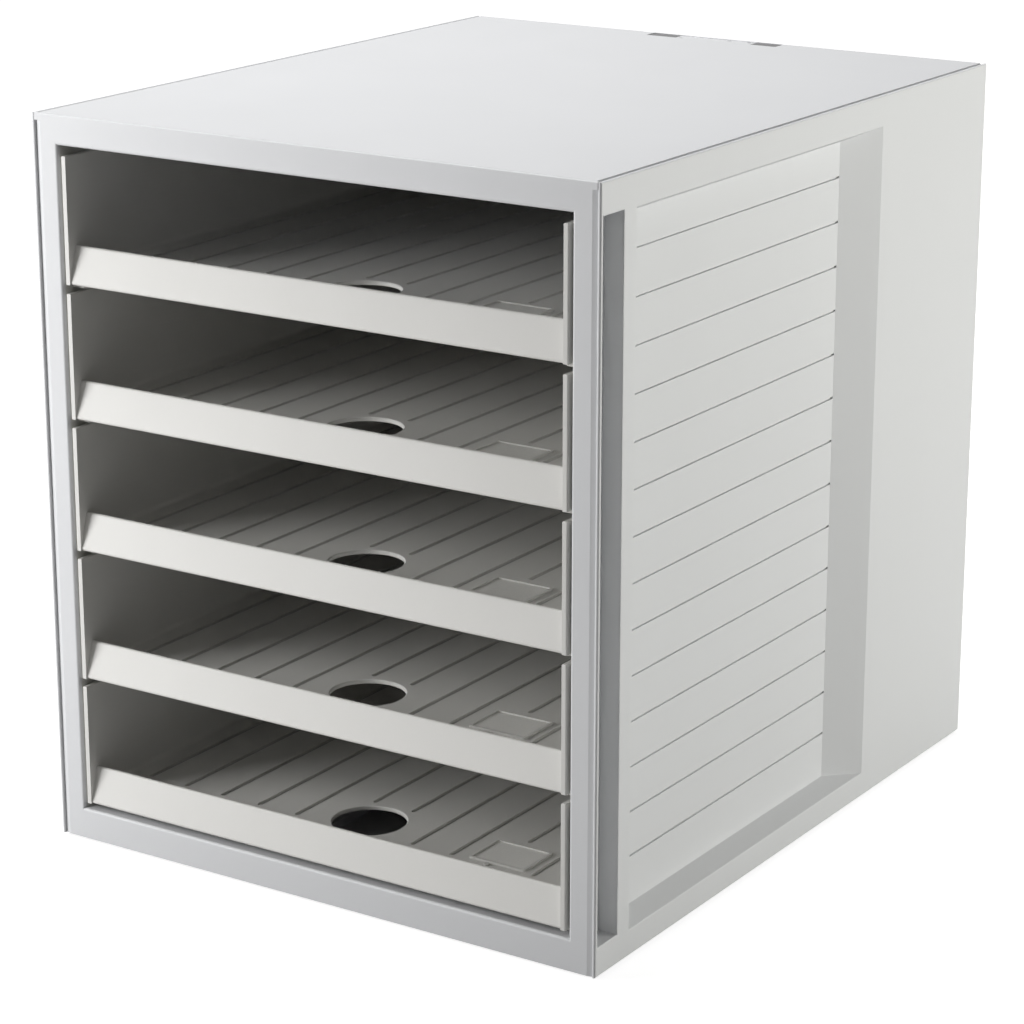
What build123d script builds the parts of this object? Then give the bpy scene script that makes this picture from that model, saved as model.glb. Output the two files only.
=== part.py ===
"""Desktop cabinet with five open letter trays that slide out of a closed housing.

Frame: X to the right, Y to the back, Z up, millimetres. The origin is on the desk, under the middle
of the cabinet. Positions written as "behind the front" are measured from the front face towards +Y.
"""
from build123d import *
import os

os.makedirs("parts", exist_ok=True)

# ---- the whole cabinet
WIDTH = 275.0
DEPTH = 330.0
HEIGHT = 320.0
FOOT_DROP = 1.2  # the feet hold the housing this far off the desk

# ---- the walls of the housing
SKIN = 1.6  # outer skin of a side panel, and the walls of its pockets
TOP_THICK = 3.3
BOTTOM_THICK = 3.0
BACK_THICK = 2.0
FRAME_FACE = 0.5  # the face of the front frame lies this far behind the rims of the sides
FRAME_STEP = 1.3  # back of its outer margins, behind the front
FRAME_THICK = 2.4  # back of the frame, behind the front
FRAME_GROOVE = 2.6  # beside each rim the margin slopes back over this width
MARGIN_EDGE = 0.2  # thickness left where the slope ends
SILL_BACK, SILL_THICK = 11.0, 2.0  # the ledge behind the lower edge of the opening
FIT = 0.2  # play between neighbouring mouldings
EDGE_ROUND = 0.8
INNER_ROUND = 0.7  # inner front and top edges of the side skins
TOP_STRIP = 1.2  # thickness of the frame's strip along the front edge of the top
TOP_STRIP_FOOT = 317.0  # its lower edge, where the upright grooves end
FRONT_SEAM, SIDE_SEAM = 0.7, 1.5  # the open seam between the top plate and the strip or the sides
TOP_SEAM_DEEP = 2.0
SOFT_EDGE = 0.2
RIM_ROUND = 0.5  # edges of the pockets and of the trays' walls

# ---- the opening for the trays, and the guide panels on both sides of it
OPENING_WIDTH = 249.6
OPENING_BOTTOM = 15.0
OPENING_TOP = 307.3
OPENING_ROUND = 1.2
RUNNER_PANEL = 2.4  # thickness of the guide panel
RAIL_WIDTH = 8.0
RAIL_THICK = 2.0
RAIL_PLAY = 0.3  # air between a tray and the rail under it
RAIL_START = 7.0  # behind the front
RAIL_END = 324.0
TOP_RAIL_START = 40.0  # the rail over the highest tray
NIB_START, NIB_END = 12.0, 15.5  # the stop nib on a rail, behind the front
NIB_HEIGHT = 1.5
NIB_WIDTH = 2.6
NIB_INSET = 0.4  # from the free edge of the rail

# ---- the trays
TRAY_COUNT = 5
TRAY_PITCH = 57.8
TRAY_HEIGHT = 54.0
FIRST_BASE = 17.8  # underside of the lowest tray
TRAY_WIDTH = 246.2
TRAY_WALL = 2.3
TRAY_FRONT_ROUND = 0.6  # outer front edges of the side walls
TRAY_FRONT, TRAY_BACK = 0.7, 327.4  # behind the front
FLOOR_TOP = 6.0  # above the tray's underside
FLOOR_THICK = 2.0
REAR_CORNER = 4.0
FLOOR_FILLET = 2.0
LIP_HEIGHT = 16.2
LIP_THICK = 2.2
LIP_FOOT = 1.0  # behind the front, at the underside
LIP_LEAN = 4.2  # how far the lip leans back over its height
LIP_BITE = 0.6  # how far its ends run into the side walls
FINGER_HOLE_RADIUS = 16.15
FINGER_HOLE_BEHIND = 40.0
GROOVE_PITCH = 20.0
GROOVE_COUNT = 12
GROOVE_WIDTH = 2.4
GROOVE_DEEP = 1.1
GROOVE_START = 28.0  # behind the front
GROOVE_BEHIND_HOLE = 57.5
GROOVE_BEHIND_PAD = 56.5
GROOVE_END = 312.0
PAD_X, PAD_BEHIND = 71.5, 40.5  # centre of the raised label pad
PAD_WIDTH, PAD_DEPTH = 27.6, 22.0
PAD_RISE, PAD_RIM, PAD_RIM_RISE = 0.3, 1.2, 0.9  # its field, and the rim round the field
FLOOR_RIB_XS = (-80.0, -40.0, 40.0, 80.0)
FLOOR_RIB_WIDTH, FLOOR_RIB_DROP = 1.2, 2.4
FLOOR_RIB_START, FLOOR_RIB_END = 62.0, 316.0
LUG_START, LUG_END = 231.0, 236.0  # the stop lug under the tray, behind the front
LUG_BOTTOM = 0.4  # above the tray's underside

# ---- the pockets in the side panels, seen from outside
SLOT_FRONT, SLOT_BACK = 1.8, 16.5  # behind the front
SLOT_BOTTOM, SLOT_TOP = 13.9, 307.0
RECESS_FRONT, RECESS_BACK = 25.8, 228.5
RECESS_BOTTOM, RECESS_TOP = 12.6, 306.6
RECESS_FRONT_RUN, RECESS_BACK_RUN, RECESS_END_RUN = 2.0, 22.5, 4.0  # how far the walls slope in
RIB_LINE_COUNT = 14
RIB_LINE_FIRST, RIB_LINE_PITCH = 37.4, 19.25
RIB_LINE_WIDTH, RIB_LINE_FLOOR, RIB_LINE_DEEP = 1.0, 0.6, 0.9

# ---- ribs, the seats in the top, and feet
CASE_RIB = 1.6
CASE_RIB_XS = (-105.0, -35.0, 35.0, 105.0)
CASE_RIB_BEHINDS = (40.0, 165.0, 290.0)
TOP_RIB_DROP = 3.4
BOTTOM_RIB_RISE = 3.4
SEAT_X, SEAT_WIDTH, SEAT_LENGTH, SEAT_DEEP = 27.4, 14.6, 8.2, 1.2
SEAT_EDGE = 1.2  # left standing behind each seat
TOP_PAD_HEIGHT = 0.9  # the stacking pad that lies in each seat
LEDGE_DEEP = 0.4  # the shallow field between the two seats
DIMPLE_RADIUS, DIMPLE_DEEP = 1.0, 1.2
DIMPLES = ((-17.3, 7.0), (6.6, 2.6), (17.3, 2.6))  # across, and before the back edge
BACK_FIELD_MARGIN, BACK_FIELD_DEEP, BACK_FIELD_ROUND = 16.0, 0.7, 6.0
BEAD_COUNT, BEAD_PITCH, BEAD_LENGTH, BEAD_WIDTH = 4, 57.8, 190.0, 7.0
FOOT_RADIUS, FOOT_HEIGHT = 6.5, 2.4
FOOT_X, FOOT_FRONT, FOOT_BACK = 118.0, 22.0, 308.0

# ---- planes and heights that follow from the sizes above
FRONT = -DEPTH / 2
CASE_BOTTOM = FOOT_DROP
TOP_UNDERSIDE = HEIGHT - TOP_THICK
BOTTOM_TOPSIDE = CASE_BOTTOM + BOTTOM_THICK
SKIN_INSIDE = WIDTH / 2 - SKIN
PANEL_INSIDE = OPENING_WIDTH / 2
PANEL_OUTSIDE = PANEL_INSIDE + RUNNER_PANEL
POCKET_FLOOR = PANEL_OUTSIDE + SKIN
POCKET_DEPTH = WIDTH / 2 - POCKET_FLOOR
BACK_INSIDE = DEPTH - BACK_THICK
TRAVEL = LUG_START - NIB_END - 0.5


def base_of(level):
    """Underside of the tray at a level, 0 being the lowest."""
    return FIRST_BASE + level * TRAY_PITCH


def front_plane(behind):
    """Plane parallel to the front face: local x is X, local y is Z, extruding by less than 0 goes back."""
    return Plane.XZ.offset(-FRONT - behind)


def side_plane(x):
    """Plane parallel to the sides: local x is Y, local y is Z, extruding goes to +X."""
    return Plane.YZ.offset(x)


def span(low, high):
    """Middle and length of a stretch."""
    return (low + high) / 2, high - low


def rectangle_over(x_low, x_high, y_low, y_high):
    """A rectangle between four limits, in the sketch that is open."""
    x_middle, x_length = span(x_low, x_high)
    y_middle, y_length = span(y_low, y_high)
    with Locations((x_middle, y_middle)):
        Rectangle(x_length, y_length)


def side_rectangle(behind_low, behind_high, z_low, z_high):
    """The same on a side plane, with the first pair given behind the front."""
    rectangle_over(FRONT + behind_low, FRONT + behind_high, z_low, z_high)


def keep(piece, name):
    """Label a finished piece and write its file."""
    piece.part.label = name
    export_step(piece.part, f"parts/{name}.step")
    print(f"{name}: {len(piece.part.solids())} solid, {piece.part.volume / 1000:.1f} cm3")


# ---------------------------------------------------------------- front frame
margin_half = SKIN_INSIDE - FRAME_GROOVE
slope_end = SKIN_INSIDE - FIT
body_half = PANEL_OUTSIDE - FIT
ledge_half = PANEL_INSIDE - FIT
with BuildPart() as front_frame:
    # the face, whose margins slope back beside the rims of the sides
    with BuildSketch(Plane.XY.offset(CASE_BOTTOM)):
        with BuildLine():
            Polyline(
                (-slope_end, FRONT + FRAME_STEP),
                (-slope_end, FRONT + FRAME_STEP - MARGIN_EDGE),
                (-margin_half, FRONT + FRAME_FACE),
                (margin_half, FRONT + FRAME_FACE),
                (slope_end, FRONT + FRAME_STEP - MARGIN_EDGE),
                (slope_end, FRONT + FRAME_STEP),
                close=True,
            )
        make_face()
    extrude(amount=TOP_STRIP_FOOT - CASE_BOTTOM)
    with BuildSketch(front_plane(FRAME_STEP)):
        rectangle_over(-body_half, body_half, CASE_BOTTOM, TOP_UNDERSIDE - FIT)
    extrude(amount=FRAME_STEP - FRAME_THICK)
    # the strip along the front edge of the top, which stands proud of the face
    with BuildSketch(front_plane(0)):
        rectangle_over(-SKIN_INSIDE, SKIN_INSIDE, TOP_STRIP_FOOT, HEIGHT)
    extrude(amount=-TOP_STRIP)
    fillet(front_frame.faces().sort_by(Axis.Z)[-1].edges().sort_by(Axis.Y)[0], RIM_ROUND)
    # the ledge behind the lower edge of the opening
    with BuildSketch(front_plane(FRAME_STEP)):
        rectangle_over(-ledge_half, ledge_half, OPENING_BOTTOM - SILL_THICK, OPENING_BOTTOM)
    extrude(amount=FRAME_STEP - SILL_BACK)
    with BuildSketch(front_plane(0)):
        rectangle_over(-PANEL_INSIDE, PANEL_INSIDE, OPENING_BOTTOM, OPENING_TOP)
    extrude(amount=-FRAME_THICK, mode=Mode.SUBTRACT)
    rim = (
        front_frame.edges()
        .filter_by_position(Axis.Y, FRONT + FRAME_FACE - 0.01, FRONT + FRAME_FACE + 0.01)
        .filter_by(lambda e: abs(e.center().X) < PANEL_INSIDE + 0.1)
        .filter_by(lambda e: OPENING_BOTTOM - 0.1 < e.center().Z < OPENING_TOP + 0.1)
    )
    fillet(rim, OPENING_ROUND)
keep(front_frame, "front_frame")

# ---------------------------------------------------------------- top panel
with BuildPart() as top_panel:
    # a plate that fills the room between the strip and the skins, and steps in below its top
    plate_front = FRONT + TOP_STRIP + FIT
    with BuildSketch(Plane.XY.offset(TOP_UNDERSIDE)):
        rectangle_over(-SKIN_INSIDE, SKIN_INSIDE, plate_front, -FRONT)
    extrude(amount=TOP_THICK - TOP_SEAM_DEEP)
    seam_half = SKIN_INSIDE - SIDE_SEAM
    with BuildSketch(Plane.XY.offset(HEIGHT - TOP_SEAM_DEEP)):
        rectangle_over(-seam_half, seam_half, FRONT + TOP_STRIP + FRONT_SEAM, -FRONT)
    extrude(amount=TOP_SEAM_DEEP)
    front_edge = top_panel.faces().sort_by(Axis.Z)[-1].edges().sort_by(Axis.Y)[0]
    chamfer(front_edge, SOFT_EDGE)
    back_edge = top_panel.faces().sort_by(Axis.Z)[-1].edges().sort_by(Axis.Y)[-1]
    fillet(back_edge, EDGE_ROUND)
    # the two seats at the back edge, with the shallow field and the dimples between them
    seat_middle = -FRONT - SEAT_EDGE - SEAT_LENGTH / 2
    with BuildSketch(Plane.XY.offset(HEIGHT)):
        with Locations((-SEAT_X, seat_middle), (SEAT_X, seat_middle)):
            RectangleRounded(SEAT_WIDTH, SEAT_LENGTH, 1.0)
    extrude(amount=-SEAT_DEEP, mode=Mode.SUBTRACT)
    with BuildSketch(Plane.XY.offset(HEIGHT)):
        with Locations((0, seat_middle)):
            Rectangle(2 * SEAT_X, SEAT_LENGTH)
    extrude(amount=-LEDGE_DEEP, mode=Mode.SUBTRACT)
    with BuildSketch(Plane.XY.offset(HEIGHT)):
        with Locations(*[(x, -FRONT - before) for x, before in DIMPLES]):
            Circle(DIMPLE_RADIUS)
    extrude(amount=-DIMPLE_DEEP, mode=Mode.SUBTRACT)
    rib_half = PANEL_INSIDE - 1.0
    rib_front, rib_back = FRONT + RAIL_START, FRONT + BACK_INSIDE - 2.0
    with BuildSketch(Plane.XY.offset(TOP_UNDERSIDE)):
        for rib_x in CASE_RIB_XS:
            rectangle_over(rib_x - CASE_RIB / 2, rib_x + CASE_RIB / 2, rib_front, rib_back)
        for behind in CASE_RIB_BEHINDS:
            middle = FRONT + behind
            rectangle_over(-rib_half, rib_half, middle - CASE_RIB / 2, middle + CASE_RIB / 2)
    extrude(amount=-TOP_RIB_DROP)
keep(top_panel, "top_panel")

for side_name, side in (("left", -1), ("right", 1)):
    with BuildPart() as top_pad:
        with BuildSketch(Plane.XY.offset(HEIGHT - SEAT_DEEP)):
            with Locations((side * SEAT_X, seat_middle)):
                RectangleRounded(SEAT_WIDTH - 2 * FIT, SEAT_LENGTH - 2 * FIT, 1.0 - FIT)
        extrude(amount=TOP_PAD_HEIGHT)
        fillet(top_pad.faces().sort_by(Axis.Z)[-1].edges(), SOFT_EDGE)
    keep(top_pad, f"top_pad_{side_name}")

# ---------------------------------------------------------------- bottom panel
foot_spots = [
    (side * FOOT_X, FRONT + behind) for behind in (FOOT_FRONT, FOOT_BACK) for side in (-1, 1)
]
with BuildPart() as bottom_panel:
    with BuildSketch(Plane.XY.offset(CASE_BOTTOM)):
        rectangle_over(-SKIN_INSIDE, SKIN_INSIDE, FRONT + FRAME_THICK, FRONT + BACK_INSIDE)
    extrude(amount=BOTTOM_THICK)
    with BuildSketch(Plane.XY.offset(CASE_BOTTOM)):
        with Locations(*foot_spots):
            Circle(FOOT_RADIUS + FIT)
    extrude(amount=FOOT_HEIGHT - FOOT_DROP, mode=Mode.SUBTRACT)
    with BuildSketch(Plane.XY.offset(BOTTOM_TOPSIDE)):
        for rib_x in CASE_RIB_XS:
            rectangle_over(rib_x - CASE_RIB / 2, rib_x + CASE_RIB / 2, rib_front, rib_back)
        for behind in CASE_RIB_BEHINDS:
            middle = FRONT + behind
            rectangle_over(-rib_half, rib_half, middle - CASE_RIB / 2, middle + CASE_RIB / 2)
    extrude(amount=BOTTOM_RIB_RISE)
keep(bottom_panel, "bottom_panel")

# ---------------------------------------------------------------- back panel
with BuildPart() as back_panel:
    with BuildSketch(front_plane(BACK_INSIDE)):
        rectangle_over(-SKIN_INSIDE, SKIN_INSIDE, CASE_BOTTOM, TOP_UNDERSIDE)
    extrude(amount=-BACK_THICK)
    field_middle, field_height = span(CASE_BOTTOM, TOP_UNDERSIDE)
    with BuildSketch(front_plane(DEPTH)):
        with Locations((0, field_middle)):
            RectangleRounded(
                2 * (SKIN_INSIDE - BACK_FIELD_MARGIN),
                field_height - 2 * BACK_FIELD_MARGIN,
                BACK_FIELD_ROUND,
            )
    extrude(amount=BACK_FIELD_DEEP, mode=Mode.SUBTRACT)
    with BuildSketch(front_plane(DEPTH - BACK_FIELD_DEEP)):
        with Locations((0, field_middle)):
            with GridLocations(0, BEAD_PITCH, 1, BEAD_COUNT):
                SlotOverall(BEAD_LENGTH, BEAD_WIDTH)
    extrude(amount=-BACK_FIELD_DEEP)
keep(back_panel, "back_panel")


# ---------------------------------------------------------------- side panels
def recess_limits(x, grow):
    """Front, back, bottom and top of the sloped recess at x, grown all round."""
    slope = (WIDTH / 2 - x) / POCKET_DEPTH
    return (
        FRONT + RECESS_FRONT + RECESS_FRONT_RUN * slope - grow,
        FRONT + RECESS_BACK - RECESS_BACK_RUN * slope + grow,
        RECESS_BOTTOM + RECESS_END_RUN * slope - grow,
        RECESS_TOP - RECESS_END_RUN * slope + grow,
    )


def make_recess(x_in, x_out, grow):
    """The sloped recess between two planes: its plan extruded upwards, trimmed by its elevation."""
    front_in, back_in, bottom_in, top_in = recess_limits(x_in, grow)
    front_out, back_out, bottom_out, top_out = recess_limits(x_out, grow)
    with BuildPart() as recess:
        with BuildSketch():
            with BuildLine():
                Polyline(
                    (x_in, front_in),
                    (x_out, front_out),
                    (x_out, back_out),
                    (x_in, back_in),
                    close=True,
                )
            make_face()
        extrude(amount=HEIGHT)
        with BuildSketch(front_plane(0)):
            with BuildLine():
                Polyline(
                    (x_in, bottom_in),
                    (x_out, bottom_out),
                    (x_out, top_out),
                    (x_in, top_in),
                    close=True,
                )
            make_face()
        extrude(amount=-DEPTH, mode=Mode.INTERSECT)
    return recess.part


recess_shell = make_recess(PANEL_OUTSIDE, SKIN_INSIDE, SKIN)
recess_hollow = make_recess(POCKET_FLOOR, WIDTH / 2, 0)

with BuildPart() as side_panel_right:
    # the inner shell: a rim all round, and the outsides of the two pockets
    with BuildSketch(side_plane(PANEL_OUTSIDE)):
        side_rectangle(FRAME_STEP, BACK_INSIDE, BOTTOM_TOPSIDE, TOP_UNDERSIDE)
        offset(amount=-SKIN, mode=Mode.SUBTRACT)
        side_rectangle(FRAME_STEP, FRAME_THICK, CASE_BOTTOM, BOTTOM_TOPSIDE)
        side_rectangle(FRAME_STEP, SLOT_BACK + SKIN, SLOT_BOTTOM - SKIN, SLOT_TOP + SKIN)
    extrude(amount=SKIN_INSIDE - PANEL_OUTSIDE)
    add(recess_shell)
    # the outer skin, rounded where it is handled
    with BuildSketch(side_plane(SKIN_INSIDE)):
        side_rectangle(0, DEPTH, CASE_BOTTOM, HEIGHT)
    extrude(amount=SKIN)
    skin_edges = side_panel_right.faces().sort_by(Axis.X)[-1].edges()
    fillet(skin_edges, EDGE_ROUND)
    inner_edges = side_panel_right.edges().filter_by_position(
        Axis.X, SKIN_INSIDE - 0.01, SKIN_INSIDE + 0.01
    )
    inner_front = inner_edges.filter_by(Axis.Z).sort_by(Axis.Y)[0]
    inner_top = inner_edges.filter_by(Axis.Y).sort_by(Axis.Z)[-1]
    fillet([inner_front, inner_top], INNER_ROUND)
    # the pockets themselves, and the lines across the floor of the recess
    with BuildSketch(side_plane(POCKET_FLOOR)):
        side_rectangle(SLOT_FRONT, SLOT_BACK, SLOT_BOTTOM, SLOT_TOP)
    extrude(amount=POCKET_DEPTH, mode=Mode.SUBTRACT)
    add(recess_hollow, mode=Mode.SUBTRACT)
    pocket_rims = (
        side_panel_right.edges()
        .filter_by_position(Axis.X, WIDTH / 2 - 0.01, WIDTH / 2 + 0.01)
        .filter_by_position(Axis.Y, FRONT + SLOT_FRONT - 0.01, -FRONT - 2 * EDGE_ROUND)
        .filter_by_position(Axis.Z, CASE_BOTTOM + 2 * EDGE_ROUND, HEIGHT - 2 * EDGE_ROUND)
    )
    fillet(pocket_rims, RIM_ROUND)
    line_start = RECESS_FRONT + RECESS_FRONT_RUN
    line_end = RECESS_BACK - RECESS_BACK_RUN
    with BuildSketch(front_plane(line_start)):
        for line in range(RIB_LINE_COUNT):
            z = RIB_LINE_FIRST + line * RIB_LINE_PITCH
            with BuildLine():
                Polyline(
                    (POCKET_FLOOR, z - RIB_LINE_WIDTH / 2),
                    (POCKET_FLOOR, z + RIB_LINE_WIDTH / 2),
                    (POCKET_FLOOR - RIB_LINE_DEEP, z + RIB_LINE_FLOOR / 2),
                    (POCKET_FLOOR - RIB_LINE_DEEP, z - RIB_LINE_FLOOR / 2),
                    close=True,
                )
            make_face()
    extrude(amount=-(line_end - line_start), mode=Mode.SUBTRACT)
keep(side_panel_right, "side_panel_right")

with BuildPart() as side_panel_left:
    mirror(side_panel_right.part, about=Plane.YZ)
keep(side_panel_left, "side_panel_left")

# ---------------------------------------------------------------- runner panels
with BuildPart() as runner_panel_right:
    with BuildSketch(side_plane(PANEL_INSIDE)):
        side_rectangle(FRAME_THICK, BACK_INSIDE, BOTTOM_TOPSIDE, TOP_UNDERSIDE)
    extrude(amount=RUNNER_PANEL)
    rail_tip = PANEL_INSIDE - RAIL_WIDTH
    for level in range(TRAY_COUNT + 1):
        rail_top = base_of(level) - RAIL_PLAY
        rail_front = FRONT + (RAIL_START if level < TRAY_COUNT else TOP_RAIL_START)
        with BuildSketch(Plane.XY.offset(rail_top - RAIL_THICK)):
            with BuildLine():
                Polyline(
                    (PANEL_INSIDE, rail_front),
                    (rail_tip + RAIL_WIDTH / 4, rail_front),
                    (rail_tip, rail_front + RAIL_WIDTH / 4),
                    (rail_tip, FRONT + RAIL_END),
                    (PANEL_INSIDE, FRONT + RAIL_END),
                    close=True,
                )
            make_face()
        extrude(amount=RAIL_THICK)
    for level in range(TRAY_COUNT):
        rail_top = base_of(level) - RAIL_PLAY
        with BuildSketch(side_plane(rail_tip + NIB_INSET)):
            with BuildLine():
                Polyline(
                    (FRONT + NIB_START, rail_top),
                    (FRONT + NIB_START + NIB_HEIGHT, rail_top + NIB_HEIGHT),
                    (FRONT + NIB_END, rail_top + NIB_HEIGHT),
                    (FRONT + NIB_END, rail_top),
                    close=True,
                )
            make_face()
        extrude(amount=NIB_WIDTH)
keep(runner_panel_right, "runner_panel_right")

with BuildPart() as runner_panel_left:
    mirror(runner_panel_right.part, about=Plane.YZ)
keep(runner_panel_left, "runner_panel_left")


# ---------------------------------------------------------------- trays
def groove_start(x):
    """Where a floor groove begins: behind the finger hole, behind the label pad, or at the front."""
    if abs(x) < FINGER_HOLE_RADIUS:
        return GROOVE_BEHIND_HOLE
    if abs(x - PAD_X) < PAD_WIDTH / 2:
        return GROOVE_BEHIND_PAD
    return GROOVE_START


def make_drawer(name, base):
    """One open tray whose underside is at the height base."""
    half = TRAY_WIDTH / 2
    inside = half - TRAY_WALL
    floor_top = base + FLOOR_TOP
    floor_under = floor_top - FLOOR_THICK
    back_inside = FRONT + TRAY_BACK - TRAY_WALL
    beyond_front = FRONT - TRAY_WALL
    with BuildPart() as tray:
        with BuildSketch(Plane.XY.offset(base)) as outline:
            rectangle_over(-half, half, FRONT + TRAY_FRONT, FRONT + TRAY_BACK)
            fillet(outline.vertices().group_by(Axis.Y)[-1], REAR_CORNER)
        extrude(amount=TRAY_HEIGHT)
        # rounded outer front edges of the two side walls
        fillet(tray.edges().filter_by(Axis.Z).group_by(Axis.Y)[0], TRAY_FRONT_ROUND)
        # the room above the floor and the hollow below it, both open at the front
        with BuildSketch(Plane.XY.offset(floor_top)) as room:
            rectangle_over(-inside, inside, beyond_front, back_inside)
            fillet(room.vertices().group_by(Axis.Y)[-1], REAR_CORNER - TRAY_WALL)
        extrude(amount=TRAY_HEIGHT, mode=Mode.SUBTRACT)
        with BuildSketch(Plane.XY.offset(base)):
            rectangle_over(-inside, inside, beyond_front, -FRONT)
        extrude(amount=FLOOR_TOP - FLOOR_THICK, mode=Mode.SUBTRACT)
        with BuildSketch(Plane.XY.offset(floor_under)):
            rectangle_over(-inside, inside, beyond_front, FRONT + LIP_FOOT + LIP_THICK)
        extrude(amount=FLOOR_THICK, mode=Mode.SUBTRACT)
        # rounded top edges of the walls
        fillet(tray.faces().sort_by(Axis.Z)[-1].edges(), RIM_ROUND)
        # the leaning front lip, rounded at its top and at its lower front edge
        with BuildSketch(side_plane(-inside - LIP_BITE)) as lip:
            foot = FRONT + LIP_FOOT
            with BuildLine():
                Polyline(
                    (foot, base),
                    (foot + LIP_THICK, base),
                    (foot + LIP_THICK + LIP_LEAN, base + LIP_HEIGHT),
                    (foot + LIP_LEAN, base + LIP_HEIGHT),
                    close=True,
                )
            make_face()
            fillet(lip.vertices().group_by(Axis.Z)[-1], LIP_THICK * 0.45)
            fillet(lip.vertices().group_by(Axis.Z)[0].sort_by(Axis.Y)[0], LIP_THICK * 0.45)
        extrude(amount=2 * (inside + LIP_BITE))
        # a soft corner where the floor meets the walls
        corner = (
            tray.edges()
            .filter_by_position(Axis.Z, floor_top - 0.01, floor_top + 0.01)
            .filter_by(lambda e: e.center().Y > FRONT + LIP_FOOT + LIP_THICK)
        )
        fillet(corner, FLOOR_FILLET)
        # ribs and stop lugs under the floor
        with BuildSketch(Plane.XY.offset(floor_under)):
            for rib_x in FLOOR_RIB_XS:
                rectangle_over(
                    rib_x - FLOOR_RIB_WIDTH / 2,
                    rib_x + FLOOR_RIB_WIDTH / 2,
                    FRONT + FLOOR_RIB_START,
                    FRONT + FLOOR_RIB_END,
                )
        extrude(amount=-FLOOR_RIB_DROP)
        lug_tip = PANEL_INSIDE - RAIL_WIDTH + NIB_INSET
        with BuildSketch(Plane.XY.offset(base + LUG_BOTTOM)):
            for low, high in ((lug_tip, inside + LIP_BITE), (-inside - LIP_BITE, -lug_tip)):
                rectangle_over(low, high, FRONT + LUG_START, FRONT + LUG_END)
        extrude(amount=FLOOR_TOP - FLOOR_THICK - LUG_BOTTOM)
        # the finger hole, the grooves and the raised label pad
        with BuildSketch(Plane.XY.offset(floor_top)):
            with Locations((0, FRONT + FINGER_HOLE_BEHIND)):
                Circle(FINGER_HOLE_RADIUS)
        extrude(amount=-FLOOR_THICK, mode=Mode.SUBTRACT)
        fillet(tray.edges().filter_by(GeomType.CIRCLE).filter_by(is_finger_hole), FLOOR_THICK / 4)
        with BuildSketch(Plane.XY.offset(floor_top)):
            for number in range(GROOVE_COUNT):
                x = (number - (GROOVE_COUNT - 1) / 2) * GROOVE_PITCH
                middle, length = span(FRONT + groove_start(x), FRONT + GROOVE_END)
                with Locations(Location((x, middle), 90)):
                    SlotOverall(length, GROOVE_WIDTH)
        extrude(amount=-GROOVE_DEEP, mode=Mode.SUBTRACT)
        with BuildSketch(Plane.XY.offset(floor_top)):
            with Locations((PAD_X, FRONT + PAD_BEHIND)):
                RectangleRounded(PAD_WIDTH, PAD_DEPTH, PAD_RIM)
        extrude(amount=PAD_RIM_RISE)
        with BuildSketch(Plane.XY.offset(floor_top + PAD_RIM_RISE)):
            with Locations((PAD_X, FRONT + PAD_BEHIND)):
                RectangleRounded(PAD_WIDTH - 2 * PAD_RIM, PAD_DEPTH - 2 * PAD_RIM, PAD_RIM / 2)
        extrude(amount=PAD_RISE - PAD_RIM_RISE, mode=Mode.SUBTRACT)
    keep(tray, name)


def is_finger_hole(edge):
    """True for the two rims of the finger hole."""
    return abs(edge.radius - FINGER_HOLE_RADIUS) < 0.01


for level in range(TRAY_COUNT):
    make_drawer(f"drawer_{TRAY_COUNT - level}", base_of(level))

# ---------------------------------------------------------------- feet
foot_names = ("foot_front_left", "foot_front_right", "foot_back_left", "foot_back_right")
for foot_name, (foot_x, foot_y) in zip(foot_names, foot_spots):
    with BuildPart() as rubber_foot:
        with BuildSketch(Plane.XY):
            with Locations((foot_x, foot_y)):
                Circle(FOOT_RADIUS)
        extrude(amount=FOOT_HEIGHT)
        fillet(rubber_foot.faces().sort_by(Axis.Z)[0].edges(), FOOT_DROP / 3)
    keep(rubber_foot, foot_name)

print(f"travel of a tray: {TRAVEL:.1f} mm")
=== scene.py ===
# %% [markdown]
# # A desk cabinet with five letter trays
#
# The cabinet is a closed housing of light grey moulded plastic, and five open trays of the same
# plastic slide in it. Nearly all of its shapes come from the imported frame. Only the rubber feet and
# the small gate marks are modelled here, so most of this lesson is about plastic that looks moulded
# instead of computed, soft studio light, and a camera that stands where the photographer stood.

# %% Load the cabinet
import math

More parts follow.
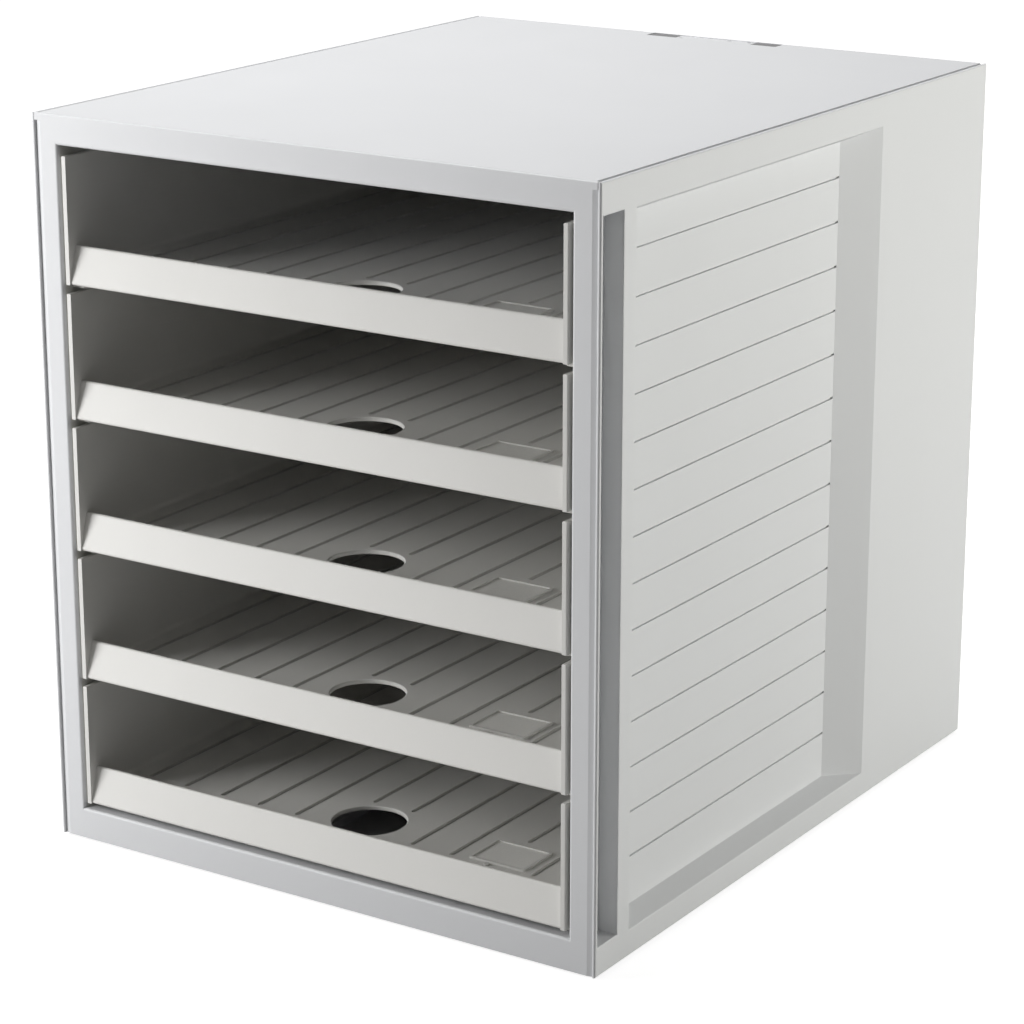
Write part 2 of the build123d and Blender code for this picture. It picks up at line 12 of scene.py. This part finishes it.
import bmesh
import bpy
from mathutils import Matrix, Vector


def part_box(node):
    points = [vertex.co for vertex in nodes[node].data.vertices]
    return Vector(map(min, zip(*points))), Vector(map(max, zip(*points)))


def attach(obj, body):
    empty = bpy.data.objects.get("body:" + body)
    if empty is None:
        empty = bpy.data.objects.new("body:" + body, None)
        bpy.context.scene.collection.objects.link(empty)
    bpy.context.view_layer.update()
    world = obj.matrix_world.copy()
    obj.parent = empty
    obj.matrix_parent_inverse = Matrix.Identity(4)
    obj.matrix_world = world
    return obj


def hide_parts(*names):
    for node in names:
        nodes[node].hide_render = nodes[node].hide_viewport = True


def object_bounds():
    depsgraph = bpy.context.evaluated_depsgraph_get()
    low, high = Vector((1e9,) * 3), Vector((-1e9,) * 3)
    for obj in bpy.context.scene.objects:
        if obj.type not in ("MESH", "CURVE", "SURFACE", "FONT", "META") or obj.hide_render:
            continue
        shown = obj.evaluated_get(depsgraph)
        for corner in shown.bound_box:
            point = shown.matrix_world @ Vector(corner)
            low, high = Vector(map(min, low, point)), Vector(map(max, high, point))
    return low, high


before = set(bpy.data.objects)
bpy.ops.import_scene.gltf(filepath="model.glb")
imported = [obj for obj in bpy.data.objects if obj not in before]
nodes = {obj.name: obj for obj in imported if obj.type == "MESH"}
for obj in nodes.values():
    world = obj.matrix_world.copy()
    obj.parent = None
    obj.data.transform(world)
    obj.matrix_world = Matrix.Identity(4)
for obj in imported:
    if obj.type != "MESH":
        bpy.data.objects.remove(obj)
cad_low, cad_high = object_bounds()
print("nodes:", len(nodes), "box:", [round(v, 4) for v in (*cad_low, *cad_high)])

# %% [markdown]
# ## Writing a finish as sums
#
# A finish is a small net of shader nodes. Drawn by hand, the net is easy to read. Built in code, it
# turns into pages of links. So a socket is wrapped in a class that knows plus, minus and times: the
# sum `1 - mask * 0.2` then adds its own Math nodes. One method, `node`, makes every other node.


# %% Sockets that can be added and multiplied
class Wire:
    """The output of a shader node, for use in sums."""

    def __init__(self, finish, socket):
        self.finish = finish
        self.socket = socket

    def maths(self, operation, first, second):
        return self.finish.node("ShaderNodeMath", {"operation": operation}, {0: first, 1: second})

    def __add__(self, other):
        return self.maths("ADD", self, other)

    def __sub__(self, other):
        return self.maths("SUBTRACT", self, other)

    def __rsub__(self, other):
        return self.maths("SUBTRACT", other, self)

    def __mul__(self, other):
        return self.maths("MULTIPLY", self, other)

    __radd__ = __add__
    __rmul__ = __mul__


print("sums ready")


# %% The net that a material or a world owns
class Finish:
    """The shader nodes of a material or a world, made one call at a time."""

    def __init__(self, owner):
        owner.use_nodes = True
        self.owner = owner
        self.tree = owner.node_tree
        self.tree.nodes.clear()

    def node(self, kind, settings=None, inputs=None, output=0):
        """Add a node and give back one of its outputs. An input takes a value or another wire."""
        made = self.tree.nodes.new(kind)
        for key, value in (settings or {}).items():
            setattr(made, key, value)
        for key, value in (inputs or {}).items():
            if isinstance(value, Wire):
                self.tree.links.new(value.socket, made.inputs[key])
            else:
                made.inputs[key].default_value = value
        return Wire(self, made.outputs[output]) if made.outputs else None

    def place(self):
        """Where a point lies on the piece, in metres."""
        return self.node("ShaderNodeTexCoord", output="Object")

    def noise(self, place, per_metre, detail=2.0, roughness=0.5):
        """Soft random values from 0 to 1, with so many lumps to the metre."""
        return self.node(
            "ShaderNodeTexNoise",
            {"noise_dimensions": "3D"},
            {"Vector": place, "Scale": per_metre, "Detail": detail, "Roughness": roughness},
        )

    def surface(self, colour, roughness, relief, ior):
        """End the net in a plain surface, and give back its owner."""
        skin = self.node(
            "ShaderNodeBsdfPrincipled",
            {},
            {"Base Color": colour, "Roughness": roughness, "Normal": relief, "IOR": ior},
        )
        self.node("ShaderNodeOutputMaterial", {}, {"Surface": skin})
        return self.owner


print("nets ready")

# %% [markdown]
# ## Moulded plastic
#
# The mould of a housing like this is spark-eroded, which leaves an even, very fine grain. It takes
# the mirror shine away, so the plastic looks matt from afar and slightly leathery close up. The
# grain could be displaced geometry, but at a third of a millimetre a bump is enough and costs
# nothing.
#
# Four things change over the surface: the fine grain, slow waves where the plastic shrank unevenly
# as it cooled, a faint drift of the colour and the shine from handling, and fine streaks where
# something slides. None is strong. Without them the large flat faces look like paper.

# %% The moulded finish
WAVES_PER_METRE, WAVE_HEIGHT = 14.0, 0.0012
DRIFT_PER_METRE, HANDLING_PER_METRE, STREAKS_PER_METRE = 9.0, 38.0, 900.0
STREAK_STRETCH = (1.0, 0.012, 1.0)
# How much paler the stipple is, and how much painted shade darkens the tray grooves.
STIPPLE_LIFT, GROOVE_SHADE_DROP = 0.16, 0.32
PLASTIC_IOR = 1.52


def moulded(
    name, colour, roughness, grain_per_metre, grain_height, streaks=0.0, lift=None, dust_and_shade=None
):
    """Moulded plastic. Streaks run front to back; lift pales a part, the last mask paints shade."""
    finish = Finish(bpy.data.materials.new(name))
    place = finish.place()
    grain = finish.noise(place, grain_per_metre, 2.0, 0.6)
    waves = finish.noise(place, WAVES_PER_METRE, 1.0)
    drift = finish.noise(place, DRIFT_PER_METRE, 4.0, 0.55)
    handling = finish.noise(place, HANDLING_PER_METRE, 5.0, 0.62)
    along = finish.node(
        "ShaderNodeVectorMath", {"operation": "MULTIPLY"}, {0: place, 1: STREAK_STRETCH}
    )
    streak = finish.noise(along, STREAKS_PER_METRE, 3.0, 0.7)
    tone = 0.968 + drift * 0.045 + grain * 0.03 + streak * (0.03 * streaks)
    stipple = 0.0
    if lift:
        stipple = lift(finish, place)
        tone = tone + stipple * STIPPLE_LIFT
    # Painted shade: the colour is made darker where this mask is 1.
    if dust_and_shade:
        tone = tone - dust_and_shade(finish, place) * GROOVE_SHADE_DROP
    shade = finish.node(
        "ShaderNodeCombineColor",
        {"mode": "RGB"},
        {0: tone * colour[0], 1: tone * colour[1], 2: tone * colour[2]},
    )
    relief = finish.node(
        "ShaderNodeBump",
        {},
        {"Height": grain + stipple * 1.5, "Strength": 0.5, "Distance": grain_height},
    )
    relief = finish.node(
        "ShaderNodeBump",
        {},
        {"Height": waves, "Strength": 0.25, "Distance": WAVE_HEIGHT, "Normal": relief},
    )
    wear = roughness - 0.05 + handling * 0.1 + grain * 0.06 + streak * (0.12 * streaks)
    return finish.surface(shade, wear, relief, PLASTIC_IOR)


print("moulded finish ready")

# %% [markdown]
# ## Masks for the trays
#
# A mask is a number that is 1 in one place and 0 elsewhere. The trays have two. The field of the
# label pad carries a paler stipple, and shade is painted into the grooves of the floor, unevenly,
# which makes them easier to see. Both could be painted on a picture, but a few comparisons of the
# point's place stay sharp at any distance.

# %% Where the stipple lies
PAD_MIDDLE = (0.0715, cad_low[1] + 0.0405)
PAD_FIELD = (0.0252, 0.0196)
DOTS_PER_METRE = 1500.0


def between(finish, value, middle, length):
    """1 where value lies on the stretch of this length round the middle, 0 elsewhere."""
    return finish.node(
        "ShaderNodeMath", {"operation": "COMPARE"}, {0: value, 1: middle, 2: length / 2}
    )


def across_and_back(finish, place):
    """The two level coordinates of a point, as sockets."""
    axes = finish.node("ShaderNodeSeparateXYZ", {}, {0: place})
    outputs = axes.socket.node.outputs
    return Wire(finish, outputs["X"]), Wire(finish, outputs["Y"])


def label_field(finish, place):
    """Fine dots round 1 on the stippled field of the label pad, and 0 elsewhere."""
    across, back = across_and_back(finish, place)
    inside_x = between(finish, across, PAD_MIDDLE[0], PAD_FIELD[0])
    inside_y = between(finish, back, PAD_MIDDLE[1], PAD_FIELD[1])
    dots = finish.noise(place, DOTS_PER_METRE, 1.0, 0.4)
    return inside_x * inside_y * (0.4 + dots * 0.9)


print("stippled field:", PAD_FIELD, "round", PAD_MIDDLE)

# %% Where the painted shade lies
GROOVE_PITCH, GROOVE_WIDTH = 0.02, 0.0023
GROOVES_FRONT, GROOVES_BACK = cad_low[1] + 0.029, cad_low[1] + 0.311
HOLE_GROOVES, PAD_GROOVES = cad_low[1] + 0.0585, cad_low[1] + 0.0575
PATCHES_PER_METRE = 60.0


def painted_groove_shade(finish, place):
    """Painted shade: about 1 in a tray's floor grooves, uneven along them, and 0 elsewhere."""
    across, back = across_and_back(finish, place)
    step = finish.node(
        "ShaderNodeMath", {"operation": "PINGPONG"}, {0: across, 1: GROOVE_PITCH / 2}
    )
    bare_half = (GROOVE_PITCH - GROOVE_WIDTH) / 2
    in_groove = finish.node("ShaderNodeMath", {"operation": "GREATER_THAN"}, {0: step, 1: bare_half})
    by_hole = between(finish, across, 0.0, 2 * GROOVE_PITCH)
    by_pad = between(finish, across, PAD_MIDDLE[0], GROOVE_PITCH)
    hole_shift, pad_shift = HOLE_GROOVES - GROOVES_FRONT, PAD_GROOVES - GROOVES_FRONT
    start = by_hole * hole_shift + by_pad * pad_shift + GROOVES_FRONT
    begun = finish.node("ShaderNodeMath", {"operation": "GREATER_THAN"}, {0: back, 1: start})
    not_over = finish.node("ShaderNodeMath", {"operation": "LESS_THAN"}, {0: back, 1: GROOVES_BACK})
    patches = finish.noise(place, PATCHES_PER_METRE, 3.0, 0.6)
    return in_groove * begun * not_over * (0.75 + patches * 0.5)


print("grooves:", GROOVE_WIDTH, "wide, every", GROOVE_PITCH)

# %% [markdown]
# ## Three plastics
#
# The housing is a cool light grey, the trays are slightly warmer and smoother, and the guides inside
# are duller. Only the trays have streaks, from sliding.

# %% The plastics
HOUSING_GREY = (0.662, 0.669, 0.684)
TRAY_GREY = (0.666, 0.66, 0.637)
GUIDE_GREY = (0.6, 0.596, 0.566)
COARSE_GRAIN = (2600.0, 0.00006)
FINE_GRAIN = (3200.0, 0.00004)
housing_plastic = moulded("housing_plastic", HOUSING_GREY, 0.5, *COARSE_GRAIN)
tray_plastic = moulded(
    "tray_plastic",
    TRAY_GREY,
    0.44,
    *FINE_GRAIN,
    streaks=1.0,
    lift=label_field,
    # Painted shade in the grooves of the floor.
    dust_and_shade=painted_groove_shade,
)
guide_plastic = moulded("guide_plastic", GUIDE_GREY, 0.5, *COARSE_GRAIN)
print("plastics:", housing_plastic.name, tray_plastic.name, guide_plastic.name)

# %% [markdown]
# ## Rubber
#
# The feet are soft black rubber, and the two stacking pads at the back of the top are mid grey. Both
# are dull and slightly dusty.

# %% The rubber finishes
RUBBER_DUST_PER_METRE, RUBBER_GRAIN_PER_METRE, RUBBER_GRAIN_HEIGHT = 240.0, 4000.0, 0.00005
RUBBER_IOR = 1.5


def rubber(name, grey):
    """Dull rubber of one grey, with fine dust."""
    finish = Finish(bpy.data.materials.new(name))
    place = finish.place()
    dust_and_shade = finish.noise(place, RUBBER_DUST_PER_METRE, 4.0)
    grain = finish.noise(place, RUBBER_GRAIN_PER_METRE)
    tone = grey + dust_and_shade * 0.02
    shade = finish.node(
        "ShaderNodeCombineColor", {"mode": "RGB"}, {0: tone, 1: tone, 2: tone * 1.02}
    )
    relief = finish.node(
        "ShaderNodeBump", {}, {"Height": grain, "Strength": 0.4, "Distance": RUBBER_GRAIN_HEIGHT}
    )
    return finish.surface(shade, 0.72 + dust_and_shade * 0.15, relief, RUBBER_IOR)


foot_rubber = rubber("foot_rubber", 0.022)
pad_rubber = rubber("pad_rubber", 0.2)
print("rubber:", foot_rubber.name, pad_rubber.name)

# %% [markdown]
# ## Which finish goes where
#
# The nodes of the frame keep their shapes. Only the slots of their materials are filled again.


# %% Dress the nodes
def dress(piece, material):
    """Give a piece this finish and no other."""
    piece.data.materials.clear()
    piece.data.materials.append(material)


for name, piece in nodes.items():
    if name.startswith("drawer"):
        dress(piece, tray_plastic)
    elif name.startswith("runner"):
        dress(piece, guide_plastic)
    elif name.startswith("foot"):
        dress(piece, foot_rubber)
    elif name.startswith("top_pad"):
        dress(piece, pad_rubber)
    else:
        dress(piece, housing_plastic)
print("dressed", len(nodes), "nodes")

# %% [markdown]
# ## Rubber feet
#
# A foot is a turned shape: a disc with a rolled lower edge, and under it a dish with two rings that
# grip the desk. It starts as a cylinder in the place of the plain foot. The edge of its underside is
# bevelled, and then the underside is inset again and again, each time a little deeper or higher.
#
# Faces are picked in code. One counts as level when its normal leans less than about 25 degrees, and
# the flat cap of a cylinder is the level face with more than eight corners.

# %% Helpers for shaping
LEVEL = 0.9
CAP_CORNERS = 8


def pick_faces(piece, wanted):
    """In edit mode, select the faces for which wanted(face) is true, and nothing else."""
    bpy.ops.mesh.select_all(action="DESELECT")
    shape = bmesh.from_edit_mesh(piece.data)
    for face in shape.faces:
        if wanted(face):
            face.select = True
    shape.select_flush(True)
    bmesh.update_edit_mesh(piece.data)


def settle(piece):
    """Back to object mode, with the piece's place moved into its mesh, and its curves smooth."""
    bpy.ops.object.mode_set(mode="OBJECT")
    bpy.ops.object.transform_apply(location=True, rotation=True, scale=True)
    bpy.ops.object.shade_smooth_by_angle(angle=math.radians(35))


def copy_of(piece, name, shift):
    """A copy with its own mesh, moved by shift."""
    bpy.ops.object.select_all(action="DESELECT")
    piece.select_set(True)
    bpy.context.view_layer.objects.active = piece
    bpy.ops.object.duplicate(linked=False)
    made = bpy.context.object
    made.name = name
    bpy.ops.transform.translate(value=shift)
    bpy.ops.object.transform_apply(location=True, rotation=True, scale=True)
    return made


print("shaping helpers ready")

# %% Model one foot
FOOT_EDGE, FOOT_RIM = 0.0004, 0.0012
RING_WALL, RING_LAND, RING_GROOVE = 0.0002, 0.0005, 0.0003
OUTER_RING, INNER_RING = 0.0003, 0.0002
DISH_WALL, DISH_DEPTH = 0.0004, 0.0004
DISH_FLOOR, DISH_MIDDLE = 0.001, 0.0002


def inset_underside(*steps):
    """Inset the picked face step by step. A step is its width and how far it stands out."""
    for width, out in steps:
        bpy.ops.mesh.inset(thickness=width, depth=out)


foot_low, foot_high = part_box("foot_front_left")
foot_middle = (Vector(foot_low) + Vector(foot_high)) / 2
bpy.ops.object.select_all(action="DESELECT")
bpy.ops.mesh.primitive_cylinder_add(
    vertices=96,
    radius=(foot_high[0] - foot_low[0]) / 2,
    depth=foot_high[2] - foot_low[2],
    location=foot_middle,
)
first_foot = bpy.context.object
first_foot.name = "rubber_foot_front_left"
bpy.ops.object.mode_set(mode="EDIT")
pick_faces(first_foot, lambda face: face.normal.z < -LEVEL)
bpy.ops.mesh.region_to_loop()
bpy.ops.mesh.bevel(offset=FOOT_EDGE, segments=4, affect="EDGES")
pick_faces(first_foot, lambda face: face.normal.z < -LEVEL and len(face.verts) > CAP_CORNERS)
inset_underside((FOOT_RIM, 0.0))
for ring in (OUTER_RING, INNER_RING):
    inset_underside((RING_WALL, -RING_GROOVE), (RING_LAND, 0.0), (RING_WALL, ring), (RING_LAND, 0.0))
inset_underside((DISH_WALL, -DISH_DEPTH), (DISH_FLOOR, -DISH_MIDDLE))
settle(first_foot)
print("foot:", len(first_foot.data.polygons), "faces")

# %% Copy it to the other three places
for node in ("foot_front_left", "foot_front_right", "foot_back_left", "foot_back_right"):
    shift = Vector(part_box(node)[0]) - Vector(foot_low)
    foot = copy_of(first_foot, "rubber_" + node, shift) if shift.length else first_foot
    dress(foot, foot_rubber)
    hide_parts(node)
    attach(foot, "housing")
print("feet placed")

# %% [markdown]
# ## Gate marks
#
# Plastic enters the mould of a tray at one point, and where it is broken off a small raised dot
# stays. On these trays it lies just in front of the label pad. It is a short cylinder, sunk a little
# into the floor, with a rounded upper edge and a shallow dish.

# %% Model one gate mark
GATE_ACROSS, GATE_BEHIND = 0.068, 0.0274
GATE_RADIUS, GATE_LENGTH, GATE_SUNK = 0.0014, 0.001, 0.0003
GATE_EDGE, GATE_RIM, GATE_DISH = 0.0003, 0.0004, 0.00012
FLOOR_ABOVE_BASE = 0.006
tray_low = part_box("drawer_5")[0]
mark_height = tray_low[2] + FLOOR_ABOVE_BASE + GATE_LENGTH / 2 - GATE_SUNK
bpy.ops.object.select_all(action="DESELECT")
bpy.ops.mesh.primitive_cylinder_add(
    vertices=32,
    radius=GATE_RADIUS,
    depth=GATE_LENGTH,
    location=(GATE_ACROSS, cad_low[1] + GATE_BEHIND, mark_height),
)
first_mark = bpy.context.object
first_mark.name = "gate_mark_5"
bpy.ops.object.mode_set(mode="EDIT")
pick_faces(first_mark, lambda face: face.normal.z > LEVEL)
bpy.ops.mesh.region_to_loop()
bpy.ops.mesh.bevel(offset=GATE_EDGE, segments=3, affect="EDGES")
pick_faces(first_mark, lambda face: face.normal.z > LEVEL and len(face.verts) > CAP_CORNERS)
bpy.ops.mesh.inset(thickness=GATE_RIM, depth=-GATE_DISH)
settle(first_mark)
print("gate mark:", len(first_mark.data.polygons), "faces")

# %% Copy it to the other four trays
for number in (5, 4, 3, 2, 1):
    shift = Vector(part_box(f"drawer_{number}")[0]) - Vector(tray_low)
    mark = copy_of(first_mark, f"gate_mark_{number}", shift) if shift.length else first_mark
    dress(mark, tray_plastic)
    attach(mark, f"tray_{number}")
print("gate marks placed")

# %% [markdown]
# ## The studio
#
# The photograph is a cut-out on white. A pale floor and a white world give the same ground, and the
# floor still takes a soft shadow. Only the camera sees the white: other rays meet a plain grey floor
# and a dim grey sky, so the white ground doesn't flood the trays with light.

# %% Floor
FLOOR_GREY = (0.42, 0.42, 0.42, 1)
WHITE_NEAR, WHITE_FROM, WHITE_TO = 0.84, 0.35, 1.6
bpy.ops.object.select_all(action="DESELECT")
bpy.ops.mesh.primitive_plane_add(size=60, location=(0, 0, 0))
floor = bpy.context.object
floor.name = "studio_floor"
floor_finish = Finish(bpy.data.materials.new("studio_floor"))
floor_paint = floor_finish.node("ShaderNodeBsdfDiffuse", {}, {"Color": FLOOR_GREY})
seen = floor_finish.node("ShaderNodeLightPath", output="Is Camera Ray")
from_middle = floor_finish.node(
    "ShaderNodeVectorMath", {"operation": "LENGTH"}, {0: floor_finish.place()}, output="Value"
)
far = floor_finish.node(
    "ShaderNodeMapRange",
    {"interpolation_type": "SMOOTHSTEP"},
    {"Value": from_middle, "From Min": WHITE_FROM, "From Max": WHITE_TO},
)
white = seen * (WHITE_NEAR + far * (1 - WHITE_NEAR))
floor_white = floor_finish.node(
    "ShaderNodeEmission", {}, {"Color": (1, 1, 1, 1), "Strength": white}
)
floor_sum = floor_finish.node("ShaderNodeAddShader", {}, {0: floor_paint, 1: floor_white})
floor_finish.node("ShaderNodeOutputMaterial", {}, {"Surface": floor_sum})
floor.data.materials.append(floor_finish.owner)
print("floor ready")

# %% World
world = bpy.data.worlds.new("studio_air")
bpy.context.scene.world = world
air = Finish(world)
to_camera = air.node("ShaderNodeLightPath", output="Is Camera Ray")
grey_air = air.node(
    "ShaderNodeBackground", {}, {"Color": (1.0, 0.985, 0.95, 1), "Strength": 0.15}
)
white_air = air.node("ShaderNodeBackground", {}, {"Color": (1, 1, 1, 1), "Strength": 1.0})
both = air.node("ShaderNodeMixShader", {}, {0: to_camera, 1: grey_air, 2: white_air})
air.node("ShaderNodeOutputWorld", {}, {"Surface": both})
print("world ready")

# %% [markdown]
# ## Lamps
#
# The front of the cabinet is brightest at its left edge and loses a quarter of its light towards the
# right, so a large soft lamp stands close on the left. The top is bright and even, and the right side
# is lit from its own side. Each lamp is given its place, the point it is aimed at, its size in metres
# and its watts.


# %% Lamps
def lamp(name, place, aim, size, watts, colour=(1.0, 1.0, 1.0)):
    """A soft rectangular lamp that points from its place to its aim."""
    data = bpy.data.lights.new(name, "AREA")
    data.shape = "RECTANGLE"
    data.size, data.size_y = size
    data.energy = watts
    data.color = colour
    made = bpy.data.objects.new(name, data)
    made.location = place
    made.rotation_euler = (Vector(aim) - Vector(place)).to_track_quat("-Z", "Y").to_euler()
    bpy.context.scene.collection.objects.link(made)
    return made


WARM = (1.0, 1.0, 0.95)
lamps = (
    lamp("left_softbox", (-0.74, -0.74, 0.33), (-0.1, -0.16, 0.15), (0.5, 0.66), 9.5),
    lamp("top_softbox", (-0.36, 0.1, 1.4), (-0.05, 0, 0.3), (0.9, 0.9), 16.6),
    lamp("right_softbox", (1.42, 0.92, 0.1), (0.13, 0.02, 0.16), (0.9, 0.7), 32.0, WARM),
)
print("lamps:", [made.name for made in lamps])

# %% [markdown]
# ## Camera
#
# The photographer stood to the right of the open front and above it, so the front, the top and the
# right side show. A long lens keeps the upright edges almost parallel.

# %% Camera
LOOK_DOWN, TURN_LEFT = 0.2961, 0.578
camera_data = bpy.data.cameras.new("camera")
camera_data.lens = 112.5
camera_data.sensor_width = 36.0
camera = bpy.data.objects.new("camera", camera_data)
camera.location = (0.741, -1.1501, 0.5463)
camera.rotation_euler = (math.pi / 2 - LOOK_DOWN, 0.0, TURN_LEFT)
bpy.context.scene.collection.objects.link(camera)
bpy.context.scene.camera = camera
bpy.context.scene.view_settings.view_transform = "Standard"
print("camera at", tuple(camera.location))

# %% [markdown]
# ## Bring the scene up to date

# %% Finish
bpy.context.view_layer.update()
